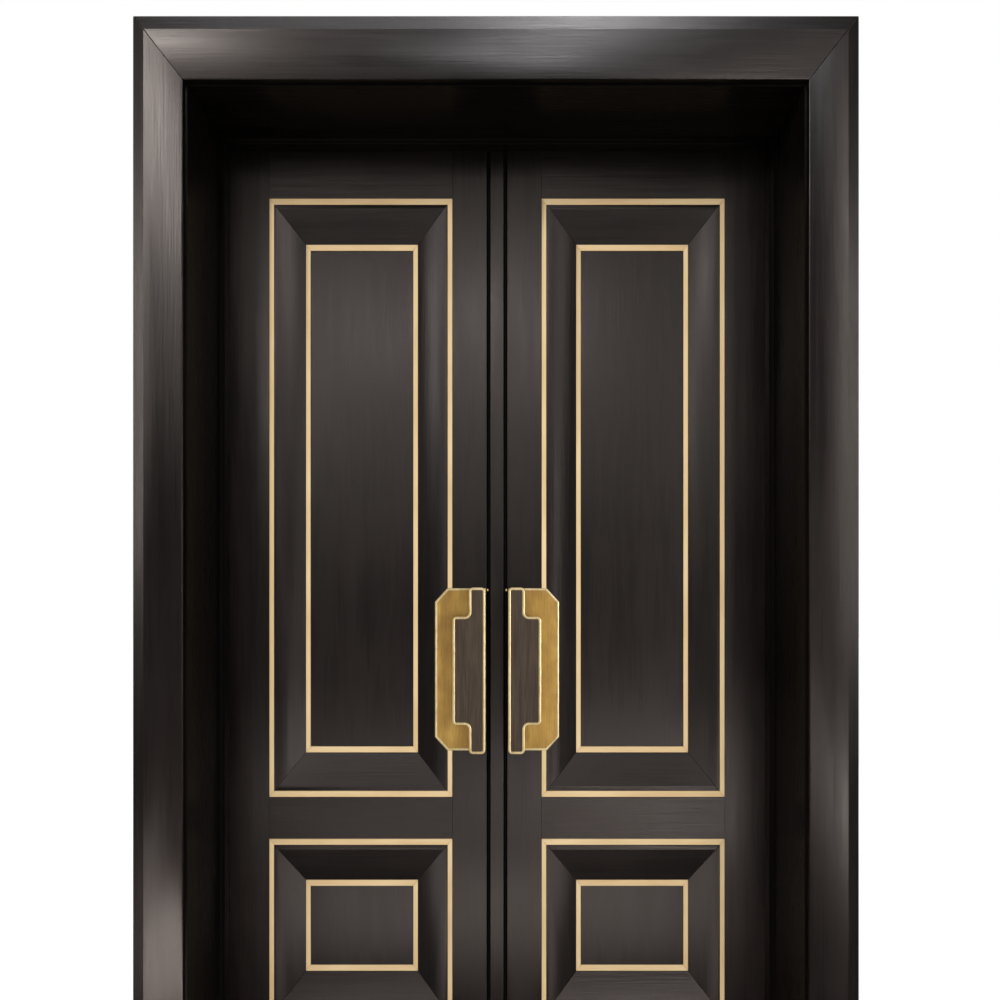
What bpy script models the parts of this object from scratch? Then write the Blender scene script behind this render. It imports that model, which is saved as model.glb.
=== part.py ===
"""A pair of solid panelled doors in a deep lining with a mitred casing on both sides.

Metres, +Z up. X runs across the opening, the viewer stands at -Y and the leaves open towards +Y.
The origin is at the floor, in the middle of the whole width and depth.
"""
from math import cos, pi, sin, sqrt

import bmesh
import bpy
from mathutils import Vector

# Clearances
seat_gap = 0.0003
mitre_gap = 0.0004
edge_gap = 0.003
floor_gap = 0.008
cut_overrun = 0.005

# Lining of the opening, with its stop and the groove of the seal
clear_half_width = 0.706
clear_height = 2.410
reveal_depth = 0.305
lining_thickness = 0.030
stop_rise = 0.012
stop_depth = 0.040
stop_clearance = 0.002
seal_width = 0.005
seal_groove_depth = 0.004
seal_edge_distance = 0.0035

# Casing in front
casing_margin = 0.005
casing_side_width = 0.115
casing_head_width = 0.148
casing_thickness = 0.020
casing_band_width = 0.026
casing_band_fall = 0.007
casing_arris = 0.0015
casing_relief_depth = 0.003
casing_relief_start = 0.005
casing_land_width = 0.022

# Casing at the back
back_casing_width = 0.090
back_casing_thickness = 0.018
back_casing_arris = 0.003

# Leaves
leaf_thickness = 0.045
hinge_stile_width = 0.1124
meeting_stile_width = 0.0894
top_rail_height = 0.1318
bottom_rail_height = 0.144
lower_opening_height = 0.4632
lock_rail_height = 0.1077
leaf_arris = 0.001
groove_depth = 0.012
tongue_shoulder = 0.0005
panel_thickness = 0.012
panel_recess = 0.025

# Mouldings and gold strips round each panel
moulding_side_width = 0.0912
moulding_rail_width = 0.1125
fillet_side_width = 0.010
fillet_rail_width = 0.0123
strip_side_width = 0.0127
strip_rail_width = 0.0163
strip_thickness = 0.004
strip_arris = 0.0006

# Cover strip between the leaves
cover_half_width = 0.018
cover_shadow_gap = 0.008
cover_setback = 0.002
cover_head_depth = 0.018
cover_arris = 0.0012
meeting_gap = 0.0028
meeting_seal_depth = 0.006

# Hinges
hinge_height = 0.100
hinge_plate_length = 0.030
hinge_plate_thickness = 0.0022
hinge_plate_gap = 0.0006
hinge_standoff = 0.001
hinge_end_distance = 0.180
knuckle_count = 5
knuckle_radius = 0.006
knuckle_gap = 0.0004
knuckle_clearance = 0.0055
pin_radius = 0.003
pin_running_gap = 0.0002
pin_tip_height = 0.003
pin_tip_radius = 0.0045

# Pulls
pull_centre_height = 1.0545
pull_reach = 0.060
plate_height = 0.420
plate_width = 0.1308
plate_edge_distance = 0.0038
plate_thickness = 0.004
plate_corner_width = 0.032
plate_corner_height = 0.035
plate_arris = 0.001
plate_rim_width = 0.006
plate_recess_depth = 0.0012
grip_overhang = 0.0012
grip_edge_distance = 0.0029
grip_narrow_width = 0.0421
grip_wide_width = 0.0837
grip_end_height = 0.0737
grip_thickness = 0.016
grip_corner_radius = 0.0095
grip_arris = 0.0015
grip_rim_width = 0.006
inlay_depth = 0.002
inlay_setback = 0.0004
post_width = 0.024
post_height = 0.044
bolt_radius = 0.004
bolt_seat_depth = 0.030

# Brass studs in the shadow gaps
stud_below_plate_top = 0.0045
stud_radius = 0.004
stud_setback = 0.0085
stud_shank_length = 0.014
stud_reach = 0.0055

# Planes of the leaves and the frame, from the front of the casing to the grips behind
overall_depth = casing_thickness + seat_gap + reveal_depth + leaf_thickness + pull_reach
casing_front_y = -overall_depth / 2
casing_back_y = casing_front_y + casing_thickness
lining_front_y = casing_back_y + seat_gap
leaf_face_y = lining_front_y + reveal_depth
leaf_back_y = leaf_face_y + leaf_thickness
stop_back_y = leaf_face_y - stop_clearance
panel_front_y = leaf_face_y + panel_recess
panel_back_y = panel_front_y + panel_thickness
leaf_outer_x = clear_half_width - edge_gap
leaf_inner_x = cover_half_width + cover_shadow_gap
leaf_top = clear_height - edge_gap
lip_x = cover_half_width + meeting_gap
lip_y = leaf_face_y + cover_setback + cover_head_depth
stud_height = pull_centre_height + plate_height / 2 - stud_below_plate_top
grip_height = plate_height + 2 * grip_overhang
opening_inner_x = leaf_inner_x + meeting_stile_width
opening_outer_x = leaf_outer_x - hinge_stile_width
lower_opening_base = floor_gap + bottom_rail_height
lower_opening_top = lower_opening_base + lower_opening_height
upper_opening_base = lower_opening_top + lock_rail_height
upper_opening_top = leaf_top - top_rail_height
panel_openings = {
    "upper": (upper_opening_base, upper_opening_top),
    "lower": (lower_opening_base, lower_opening_top),
}

# The hinge pins stand behind the leaves, over the middle of the gap beside them
hinge_axis_x = clear_half_width - edge_gap / 2
hinge_axis_y = leaf_back_y + hinge_standoff + knuckle_radius
hinge_bases = {
    "top": leaf_top - hinge_end_distance - hinge_height,
    "middle": (floor_gap + leaf_top - hinge_height) / 2,
    "bottom": floor_gap + hinge_end_distance,
}

round_sides = 24
corner_steps = 4


def solid_through(loops, closed=False):
    """A solid through loops of equal length: capped at its ends, or closed into a ring."""
    shape = bmesh.new()
    rings = [[shape.verts.new(point) for point in loop] for loop in loops]
    following = rings[1:] + (rings[:1] if closed else [])
    for near, far in zip(rings, following):
        for i in range(len(near)):
            j = (i + 1) % len(near)
            shape.faces.new((near[i], near[j], far[j], far[i]))
    if not closed:
        shape.faces.new(rings[0])
        shape.faces.new(rings[-1])
    bmesh.ops.recalc_face_normals(shape, faces=shape.faces)
    return shape


def upright(outline, low, high):
    """Extrude an outline of (x, y) points from one height to another."""
    return solid_through([[(x, y, z) for x, y in outline] for z in (low, high)])


def across(outline, low, high):
    """Extrude an outline of (z, y) points along X."""
    return solid_through([[(x, y, z) for z, y in outline] for x in (low, high)])


def box(low, high):
    """A box between two opposite corners."""
    outline = [(low[0], low[1]), (high[0], low[1]), (high[0], high[1]), (low[0], high[1])]
    return upright(outline, low[2], high[2])


def turned(sections, place):
    """A round solid through (distance, radius) sections, put in space by a function."""
    loops = []
    for distance, radius in sections:
        angles = [2 * pi * i / round_sides for i in range(round_sides)]
        loops.append([place(distance, radius * cos(a), radius * sin(a)) for a in angles])
    return solid_through(loops)


def gathered(shapes):
    """Several separate shapes in one mesh."""
    whole = bmesh.new()
    for shape in shapes:
        mesh = bpy.data.meshes.new("shape")
        shape.to_mesh(mesh)
        shape.free()
        whole.from_mesh(mesh)
        bpy.data.meshes.remove(mesh)
    return whole


def add_piece(name, shape, material=None, side=1, pivot=None):
    """Make an object of a shape that is drawn for the right-hand side, mirrored for the left."""
    if side < 0:
        bmesh.ops.scale(shape, vec=(side, 1, 1), verts=shape.verts)
        bmesh.ops.reverse_faces(shape, faces=shape.faces)
    if pivot:
        bmesh.ops.translate(shape, vec=-pivot.location, verts=shape.verts)
    mesh = bpy.data.meshes.new(name)
    shape.to_mesh(mesh)
    shape.free()
    piece = bpy.data.objects.new(name, mesh)
    bpy.context.scene.collection.objects.link(piece)
    piece.parent = pivot
    if material:
        mesh.materials.append(material)
    return piece


def combine(piece, operation, label, shapes, side=1):
    """Cut shapes from a piece, or fuse them to it."""
    tool = add_piece(f"{piece.name}_{label}", gathered(shapes), None, side, piece.parent)
    tool.hide_render = True
    tool.display_type = "WIRE"
    modifier = piece.modifiers.new(label, "BOOLEAN")
    modifier.operation = operation
    modifier.solver = "EXACT"
    modifier.object = tool


def smooth_round(piece, sharp_angle=pi / 6):
    """Shade the round walls smooth and keep the edges between faces sharp."""
    piece.data.shade_smooth()
    piece.data.set_sharp_from_angle(angle=sharp_angle)


def make_material(name, colour, roughness, metallic):
    """A plain Principled material."""
    material = bpy.data.materials.new(name)
    material.use_nodes = True
    shader = material.node_tree.nodes["Principled BSDF"]
    shader.inputs["Base Color"].default_value = (*colour, 1)
    shader.inputs["Roughness"].default_value = roughness
    shader.inputs["Metallic"].default_value = metallic
    return material


def hollow_back(margin, width, face_y, floor_y):
    """The relief in the back of a casing, between a land on the lining and a land on the wall."""
    near = lining_thickness - margin + casing_relief_start
    far = width - casing_land_width
    return [(far, face_y), (far, floor_y), (near, floor_y), (near, face_y)]


def opening_surround(stem, profile, material, half_width, top, head_share=1):
    """Three mitred bars round the opening, from (offset, y) points, which the head scales upwards."""
    for word, side in (("left", -1), ("right", 1)):
        foot = [(half_width + out, y, 0) for out, y in profile]
        mitre = [(half_width + out, y, top + out * head_share - mitre_gap) for out, y in profile]
        add_piece(f"{stem}_{word}", solid_through([foot, mitre]), material, side)
    ends = []
    for side in (-1, 1):
        ends.append([(side * (half_width + out), y, top + out * head_share) for out, y in profile])
    add_piece(f"{stem}_head", solid_through(ends), material)


def build_casing(material):
    """The front casing: an eased inner edge, a flat face and an outer band that slopes back."""
    width, face = casing_side_width, casing_front_y
    profile = [
        (0, casing_back_y),
        (0, face + casing_arris),
        (casing_arris, face),
        (width - casing_band_width, face),
        (width, face + casing_band_fall),
        (width, casing_back_y),
    ]
    profile += hollow_back(casing_margin, width, casing_back_y, casing_back_y - casing_relief_depth)
    opening_surround("casing", profile, material, clear_half_width + casing_margin,
                     clear_height + casing_margin, casing_head_width / casing_side_width)


def build_back_casing(material):
    """The plain casing at the back, set clear of the hinge knuckles."""
    margin = knuckle_radius - edge_gap / 2 + knuckle_clearance
    front = leaf_back_y + seat_gap
    back = front + back_casing_thickness
    ease, width = back_casing_arris, back_casing_width
    profile = [
        (0, front),
        (0, back - ease),
        (ease, back),
        (width - ease, back),
        (width, back - ease),
        (width, front),
    ]
    profile += hollow_back(margin, width, front, front + casing_relief_depth)
    opening_surround("back_casing", profile, material, clear_half_width + margin, clear_height + margin)


def seal_offsets():
    """Offsets of the seal's groove from the reveal face, both inside the stop."""
    inner = -stop_rise + seal_edge_distance
    return inner, inner + seal_width


def build_lining(material):
    """The lining boards, each with its stop and the groove for the seal cut from the solid."""
    groove_inner, groove_outer = seal_offsets()
    groove_floor_y = stop_back_y - seal_groove_depth
    stop_front_y = stop_back_y - stop_depth
    profile = [
        (0, lining_front_y),
        (0, stop_front_y),
        (-stop_rise, stop_front_y),
        (-stop_rise, stop_back_y),
        (groove_inner, stop_back_y),
        (groove_inner, groove_floor_y),
        (groove_outer, groove_floor_y),
        (groove_outer, stop_back_y),
        (0, stop_back_y),
        (0, leaf_back_y),
        (lining_thickness, leaf_back_y),
        (lining_thickness, lining_front_y),
    ]
    opening_surround("jamb", profile, material, clear_half_width, clear_height)
    for word, side in (("left", -1), ("right", 1)):
        combine(bpy.data.objects[f"jamb_{word}"], "DIFFERENCE", "hinge_seats", hinge_seats(1), side)


def build_seal(material):
    """One strip of seal up, across and down, in the groove of the stops."""
    groove_inner, groove_outer = seal_offsets()
    inner, outer = groove_inner + seat_gap, groove_outer - seat_gap
    low_y, high_y = stop_back_y - seal_groove_depth + seat_gap, leaf_face_y - seat_gap
    section = [(inner, low_y), (outer, low_y), (outer, high_y), (inner, high_y)]
    half, top = clear_half_width, clear_height
    loops = [
        [(-half - out, y, floor_gap) for out, y in section],
        [(-half - out, y, top + out) for out, y in section],
        [(half + out, y, top + out) for out, y in section],
        [(half + out, y, floor_gap) for out, y in section],
    ]
    add_piece("door_seal", solid_through(loops), material)


def hinge_let_in():
    """How deep each hinge plate lies in the wood, so that the closed plates keep their gap."""
    return hinge_plate_thickness - (edge_gap - hinge_plate_gap) / 2


def hinge_seats(direction):
    """Cutters for the hinge plates: direction 1 for the jamb, -1 for the edge of the leaf."""
    surface = clear_half_width if direction > 0 else leaf_outer_x
    floor_x = surface + direction * (hinge_let_in() + seat_gap)
    open_x = surface - direction * edge_gap / 2
    low_x, high_x = sorted((floor_x, open_x))
    low_y = leaf_back_y - hinge_plate_length - seat_gap
    seats = []
    for base in hinge_bases.values():
        low = (low_x, low_y, base - seat_gap)
        high = (high_x, leaf_back_y + cut_overrun, base + hinge_height + seat_gap)
        seats.append(box(low, high))
    return seats


def knuckle_spans(base, first):
    """Heights of every second knuckle of a hinge, starting with the given one."""
    pitch = hinge_height / knuckle_count
    return [(base + i * pitch + knuckle_gap / 2, base + (i + 1) * pitch - knuckle_gap / 2)
            for i in range(first, knuckle_count, 2)]


def hinge_half(name, material, base, direction, side, pivot=None):
    """One half of a hinge: a plate with necks that run into its knuckles."""
    surface = clear_half_width if direction > 0 else leaf_outer_x
    deep_x = surface + direction * hinge_let_in()
    shallow_x = deep_x - direction * hinge_plate_thickness
    spans = knuckle_spans(base, 0 if direction > 0 else 1)
    near_y = hinge_axis_y - knuckle_radius - hinge_standoff / 2
    outline = [(base, leaf_back_y - hinge_plate_length), (base, near_y)]
    for low, high in spans:
        outline += [(low, near_y), (low, hinge_axis_y), (high, hinge_axis_y), (high, near_y)]
    top = base + hinge_height
    outline += [(top, near_y), (top, leaf_back_y - hinge_plate_length)]
    low_x, high_x = sorted((deep_x, shallow_x))
    half = add_piece(name, across(outline, low_x, high_x), material, side, pivot)

    def on_axis(height, x, y):
        return (hinge_axis_x + x, hinge_axis_y + y, height)

    barrels = [turned([(low, knuckle_radius), (high, knuckle_radius)], on_axis) for low, high in spans]
    combine(half, "UNION", "knuckles", barrels, side)
    if direction > 0:
        low, high = base + knuckle_gap / 2, top - knuckle_gap / 2
        inside = knuckle_radius / 2
        pin = [
            (low - pin_tip_height, pin_tip_radius - pin_tip_height / 2),
            (low - pin_tip_height / 2, pin_tip_radius),
            (low + inside, pin_tip_radius),
            (low + inside, pin_radius),
            (high - inside, pin_radius),
            (high - inside, pin_tip_radius),
            (high + pin_tip_height / 2, pin_tip_radius),
            (high + pin_tip_height, pin_tip_radius - pin_tip_height / 2),
        ]
        combine(half, "UNION", "pin", [turned(pin, on_axis)], side)
    else:
        bore_radius = pin_radius + pin_running_gap
        bore = [(base - cut_overrun, bore_radius), (top + cut_overrun, bore_radius)]
        combine(half, "DIFFERENCE", "bore", [turned(bore, on_axis)], side)
    smooth_round(half)


def build_hinges(material, word, side, pivot):
    """Three hinges of a leaf, each a half on the frame and a half on the leaf."""
    for place, base in hinge_bases.items():
        hinge_half(f"{word}_hinge_{place}_frame", material, base, 1, side)
        hinge_half(f"{word}_hinge_{place}_leaf", material, base, -1, side, pivot)


def grooved_outline(low, high, low_groove, high_groove, low_ease=0.0, high_ease=0.0):
    """Section of a stile or rail as (across, y) points, with a panel groove in either edge."""
    groove_front, groove_back = panel_front_y - seat_gap, panel_back_y + seat_gap
    outline = [(low + low_ease, leaf_face_y), (high - high_ease, leaf_face_y)]
    if high_ease:
        outline.append((high, leaf_face_y + high_ease))
    if high_groove:
        floor = high - groove_depth
        outline += [(high, groove_front), (floor, groove_front), (floor, groove_back), (high, groove_back)]
    if high_ease:
        outline.append((high, leaf_back_y - high_ease))
    outline += [(high - high_ease, leaf_back_y), (low + low_ease, leaf_back_y)]
    if low_ease:
        outline.append((low, leaf_back_y - low_ease))
    if low_groove:
        floor = low + groove_depth
        outline += [(low, groove_back), (floor, groove_back), (floor, groove_front), (low, groove_front)]
    if low_ease:
        outline.append((low, leaf_face_y + low_ease))
    return outline


def post_centres():
    """Where the posts and bolts of a pull stand, as (x, z)."""
    x = leaf_inner_x + grip_edge_distance + grip_narrow_width / 2
    rise = (grip_height - grip_end_height) / 2
    return [(x, pull_centre_height - rise), (x, pull_centre_height + rise)]


def bolt_holes(low_y, high_y):
    """Cutters for the two bolts of a pull."""
    radius = bolt_radius + seat_gap
    return [turned([(low_y, radius), (high_y, radius)], lambda d, a, b, x=x, z=z: (x + a, d, z + b))
            for x, z in post_centres()]


def stud_shape(extra):
    """A brass stud, or with some extra radius the hole for its shank."""
    start = leaf_inner_x + stud_shank_length + extra
    radius = stud_radius + extra
    y = leaf_face_y + stud_setback
    if extra:
        sections = [(start, radius), (leaf_inner_x - cut_overrun, radius)]
    else:
        dome = [(leaf_inner_x - stud_reach + radius * (1 - sin(a)), radius * cos(a))
                for a in (0, pi / 8, pi / 4, 3 * pi / 8)]
        sections = [(start, radius)] + dome
    return turned(sections, lambda d, a, b: (d, y + a, stud_height + b))


def build_leaf_frame(material, word, side, pivot):
    """Two stiles and three rails, joined by tongues in the panel grooves."""
    hinge_side = grooved_outline(opening_outer_x, leaf_outer_x, True, False, high_ease=leaf_arris)
    post = upright(hinge_side, floor_gap, leaf_top)
    stile = add_piece(f"{word}_hinge_stile", post, material, side, pivot)
    combine(stile, "DIFFERENCE", "hinge_seats", hinge_seats(-1), side)
    lip = [(lip_x, lip_y), (leaf_inner_x, lip_y), (leaf_inner_x, leaf_face_y + leaf_arris)]
    meeting_side = grooved_outline(leaf_inner_x, opening_inner_x, False, True, low_ease=leaf_arris)
    meeting_side = meeting_side[:-2] + [(lip_x, leaf_back_y)] + lip
    post = upright(meeting_side, floor_gap, leaf_top)
    stile = add_piece(f"{word}_meeting_stile", post, material, side, pivot)
    holes = bolt_holes(leaf_face_y - cut_overrun, leaf_back_y + cut_overrun)
    combine(stile, "DIFFERENCE", "holes", holes + [stud_shape(seat_gap)], side)
    rails = {
        "bottom": (floor_gap, lower_opening_base, False, True),
        "lock": (lower_opening_top, upper_opening_base, True, True),
        "top": (upper_opening_top, leaf_top, True, False),
    }
    for place, (low, high, low_groove, high_groove) in rails.items():
        outline = grooved_outline(low, high, low_groove, high_groove)
        body = across(outline, opening_inner_x + seat_gap, opening_outer_x - seat_gap)
        rail = add_piece(f"{word}_{place}_rail", body, material, side, pivot)
        reach = groove_depth - seat_gap
        tongue_low = low + tongue_shoulder + (groove_depth if low_groove else 0)
        tongue_high = high - tongue_shoulder - (groove_depth if high_groove else 0)
        tongue = box((opening_inner_x - reach, panel_front_y, tongue_low),
                     (opening_outer_x + reach, panel_back_y, tongue_high))
        combine(rail, "UNION", "tongue", [tongue], side)


def panel_frame(low, high, profile):
    """A mitred ring inside an opening, from (side inset, rail inset, y) profile points."""
    left, right = opening_inner_x, opening_outer_x
    loops = [
        [(left + inward, y, low + rise) for inward, rise, y in profile],
        [(right - inward, y, low + rise) for inward, rise, y in profile],
        [(right - inward, y, high - rise) for inward, rise, y in profile],
        [(left + inward, y, high - rise) for inward, rise, y in profile],
    ]
    return solid_through(loops, closed=True)


def strip_profile(side_inset, rail_inset, front_y, back_y):
    """Section of a gold strip with eased front edges."""
    side_end = side_inset + strip_side_width - seat_gap
    rail_end = rail_inset + strip_rail_width - seat_gap
    ease = strip_arris
    return [
        (side_inset, rail_inset, back_y),
        (side_inset, rail_inset, front_y + ease),
        (side_inset + ease, rail_inset + ease, front_y),
        (side_end - ease, rail_end - ease, front_y),
        (side_end, rail_end, front_y + ease),
        (side_end, rail_end, back_y),
    ]


def moulding_profile():
    """Section of the moulding: rebate for the outer strip, fillet, slope down to the inner strip."""
    rebate_y = leaf_face_y + strip_thickness + seat_gap
    foot_y = panel_front_y - strip_thickness
    back_y = panel_front_y - seat_gap
    side_foot = moulding_side_width - seat_gap
    rail_foot = moulding_rail_width - seat_gap
    return [
        (seat_gap, seat_gap, back_y),
        (seat_gap, seat_gap, rebate_y),
        (strip_side_width + seat_gap, strip_rail_width + seat_gap, rebate_y),
        (strip_side_width + seat_gap, strip_rail_width + seat_gap, leaf_face_y),
        (strip_side_width + fillet_side_width, strip_rail_width + fillet_rail_width, leaf_face_y),
        (side_foot, rail_foot, foot_y),
        (side_foot, rail_foot, back_y),
    ]


def build_panels(paint, gold, word, side, pivot):
    """Both panels of a leaf, each with its moulding and its two gold strips."""
    reach = groove_depth - tongue_shoulder
    for place, (low, high) in panel_openings.items():
        board = box((opening_inner_x - reach, panel_front_y, low - reach),
                    (opening_outer_x + reach, panel_back_y, high + reach))
        add_piece(f"{word}_{place}_panel", board, paint, side, pivot)
        moulding = panel_frame(low, high, moulding_profile())
        add_piece(f"{word}_{place}_moulding", moulding, paint, side, pivot)
        outer = strip_profile(seat_gap, seat_gap, leaf_face_y, leaf_face_y + strip_thickness)
        add_piece(f"{word}_{place}_outer_strip", panel_frame(low, high, outer), gold, side, pivot)
        inner = strip_profile(moulding_side_width, moulding_rail_width,
                              panel_front_y - strip_thickness, panel_front_y - seat_gap)
        add_piece(f"{word}_{place}_inner_strip", panel_frame(low, high, inner), gold, side, pivot)


def plate_outline(inset):
    """Outline of the pull's plate as (x, z) points, with two cut corners away from the meeting edge."""
    low_x = leaf_inner_x + plate_edge_distance
    high_x = low_x + plate_width - inset
    low_x += inset
    low = pull_centre_height - plate_height / 2 + inset
    high = pull_centre_height + plate_height / 2 - inset
    shift = inset * (2 - sqrt(2))
    cut_width, cut_height = plate_corner_width - shift, plate_corner_height - shift
    return [
        (low_x, low),
        (high_x - cut_width, low),
        (high_x, low + cut_height),
        (high_x, high - cut_height),
        (high_x - cut_width, high),
        (low_x, high),
    ]


def rounded(outline, radius):
    """The outline with an arc at each right-angled corner."""
    points = []
    for i, corner in enumerate(outline):
        here = Vector(corner)
        back = (Vector(outline[i - 1]) - here).normalized()
        ahead = (Vector(outline[(i + 1) % len(outline)]) - here).normalized()
        centre = here + (back + ahead) * radius
        for step in range(corner_steps + 1):
            turn = step / corner_steps * pi / 2
            points.append(tuple(centre - ahead * radius * cos(turn) - back * radius * sin(turn)))
    return points


def grip_outline(inset):
    """Outline of the grip as (x, z) points: two narrow ends and a wide middle."""
    low_x = leaf_inner_x + grip_edge_distance
    narrow_x = low_x + grip_narrow_width - inset
    wide_x = low_x + grip_wide_width - inset
    low_x += inset
    low = pull_centre_height - grip_height / 2
    high = pull_centre_height + grip_height / 2
    step_low, step_high = low + grip_end_height + inset, high - grip_end_height - inset
    low, high = low + inset, high - inset
    corners = [
        (low_x, low), (narrow_x, low), (narrow_x, step_low), (wide_x, step_low),
        (wide_x, step_high), (narrow_x, step_high), (narrow_x, high), (low_x, high),
    ]
    return rounded(corners, grip_corner_radius - inset / 2)


def layered(sections):
    """A solid through (outline, y) sections, each outline of (x, z) points."""
    return solid_through([[(x, y, z) for x, z in outline] for outline, y in sections])


def grip_shape(face_y, outward):
    """The bar of the grip, with eased edges and the recess for its inlay."""
    front_y = face_y + outward * pull_reach
    back_y = front_y - outward * grip_thickness
    sections = [
        (grip_outline(grip_rim_width), front_y - outward * inlay_depth),
        (grip_outline(grip_rim_width), front_y),
        (grip_outline(grip_arris), front_y),
        (grip_outline(0), front_y - outward * grip_arris),
        (grip_outline(0), back_y + outward * grip_arris),
        (grip_outline(grip_arris), back_y),
    ]
    return layered(sections)


def inlay_shape(face_y, outward):
    """The thin inlay that lies in the recess of the grip."""
    front_y = face_y + outward * (pull_reach - inlay_setback)
    back_y = face_y + outward * (pull_reach - inlay_depth + seat_gap)
    outline = grip_outline(grip_rim_width + seat_gap)
    return layered([(outline, front_y), (outline, back_y)])


def plate_shape(face_y, outward):
    """The plate of a pull: a raised rim with an eased edge round a flat field."""
    seat_y = face_y + outward * seat_gap
    front_y = seat_y + outward * plate_thickness
    sections = [
        (plate_outline(0), seat_y),
        (plate_outline(0), front_y - outward * plate_arris),
        (plate_outline(plate_arris), front_y),
        (plate_outline(plate_rim_width), front_y),
        (plate_outline(plate_rim_width), front_y - outward * plate_recess_depth),
    ]
    return layered(sections)


def posts(near_y, far_y):
    """The two posts between a plate and its grip."""
    low_y, high_y = sorted((near_y, far_y))
    wide, high = post_width / 2, post_height / 2
    return [box((x - wide, low_y, z - high), (x + wide, high_y, z + high)) for x, z in post_centres()]


def build_pulls(brass, inlay, word, side, pivot):
    """The pull in front, and the one behind that its bolts hold."""
    plate_front_y = leaf_face_y - seat_gap - plate_thickness + plate_recess_depth
    grip_back_y = leaf_face_y - pull_reach + grip_thickness
    inside = grip_thickness / 2
    plate = add_piece(f"{word}_pull_plate", plate_shape(leaf_face_y, -1), brass, side, pivot)
    holes = bolt_holes(plate_front_y - cut_overrun, leaf_face_y + cut_overrun)
    combine(plate, "DIFFERENCE", "bolt_holes", holes, side)
    grip = add_piece(f"{word}_pull_grip", grip_shape(leaf_face_y, -1), brass, side, pivot)
    combine(grip, "UNION", "posts", posts(grip_back_y - inside, plate_front_y - seat_gap), side)
    bolt_end_y = leaf_back_y + bolt_seat_depth
    bolts = [turned([(grip_back_y, bolt_radius), (bolt_end_y, bolt_radius)],
                    lambda d, a, b, x=x, z=z: (x + a, d, z + b)) for x, z in post_centres()]
    combine(grip, "UNION", "bolts", bolts, side)
    smooth_round(grip)
    add_piece(f"{word}_pull_inlay", inlay_shape(leaf_face_y, -1), inlay, side, pivot)

    back_plate_middle_y = leaf_back_y + seat_gap + plate_thickness / 2
    back_grip_middle_y = leaf_back_y + pull_reach - grip_thickness + inside
    back = add_piece(f"{word}_back_pull", plate_shape(leaf_back_y, 1), brass, side, pivot)
    combine(back, "UNION", "posts", posts(back_plate_middle_y, back_grip_middle_y), side)
    combine(back, "UNION", "grip", [grip_shape(leaf_back_y, 1)], side)
    holes = bolt_holes(leaf_back_y - cut_overrun, bolt_end_y + seat_gap)
    combine(back, "DIFFERENCE", "bolt_holes", holes, side)
    smooth_round(back)


def build_stud(brass, word, side, pivot):
    """The small brass stud in the meeting edge of a leaf."""
    stud = add_piece(f"{word}_stud", stud_shape(0), brass, side, pivot)
    smooth_round(stud)


def build_cover_strip(material, pivot):
    """The strip that covers the joint, seated against the lip of the right leaf's meeting stile."""
    front_y = leaf_face_y + cover_setback
    half, ease = cover_half_width, cover_arris
    seat_x = lip_x - seat_gap
    outline = [
        (-half + ease, front_y), (half - ease, front_y), (half, front_y + ease), (half, lip_y),
        (seat_x, lip_y), (seat_x, leaf_back_y), (-half, leaf_back_y), (-half, front_y + ease),
    ]
    add_piece("cover_strip", upright(outline, floor_gap, leaf_top), material, 1, pivot)


def build_meeting_seal(material, pivot):
    """The soft strip on the left leaf that closes the gap beside the cover strip."""
    low = (cover_half_width + seat_gap, lip_y - meeting_seal_depth, floor_gap)
    high = (leaf_inner_x - seat_gap, lip_y - seat_gap, leaf_top)
    add_piece("meeting_seal", box(low, high), material, -1, pivot)


def build_leaf(materials, word, side):
    """One leaf with all that moves with it, under an empty on its hinge axis."""
    pivot = bpy.data.objects.new(f"{word}_leaf_pivot", None)
    pivot.location = (side * hinge_axis_x, hinge_axis_y, 0)
    bpy.context.scene.collection.objects.link(pivot)
    build_leaf_frame(materials["paint"], word, side, pivot)
    build_panels(materials["paint"], materials["gold"], word, side, pivot)
    build_hinges(materials["steel"], word, side, pivot)
    build_pulls(materials["brass"], materials["inlay"], word, side, pivot)
    build_stud(materials["brass"], word, side, pivot)
    return pivot


def main():
    for old in list(bpy.data.objects):
        bpy.data.objects.remove(old)
    materials = {
        "paint": make_material("dark_paint", (0.030, 0.026, 0.024), 0.42, 0),
        "gold": make_material("gold_strip", (0.76, 0.57, 0.29), 0.35, 1),
        "brass": make_material("brushed_brass", (0.47, 0.29, 0.09), 0.38, 1),
        "inlay": make_material("brown_inlay", (0.10, 0.072, 0.052), 0.5, 0),
        "steel": make_material("dark_steel", (0.16, 0.13, 0.09), 0.45, 1),
        "seal": make_material("black_rubber", (0.012, 0.012, 0.012), 0.7, 0),
    }
    build_casing(materials["paint"])
    build_lining(materials["paint"])
    build_back_casing(materials["paint"])
    build_seal(materials["seal"])
    left_pivot = build_leaf(materials, "left", -1)
    right_pivot = build_leaf(materials, "right", 1)
    build_meeting_seal(materials["seal"], left_pivot)
    build_cover_strip(materials["paint"], right_pivot)


main()
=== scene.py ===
"""Looks of the panelled double doors: finer pieces, materials, light and camera round the CAD frame."""

from functools import partial
from math import acos, cos, pi, sin, sqrt

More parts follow.
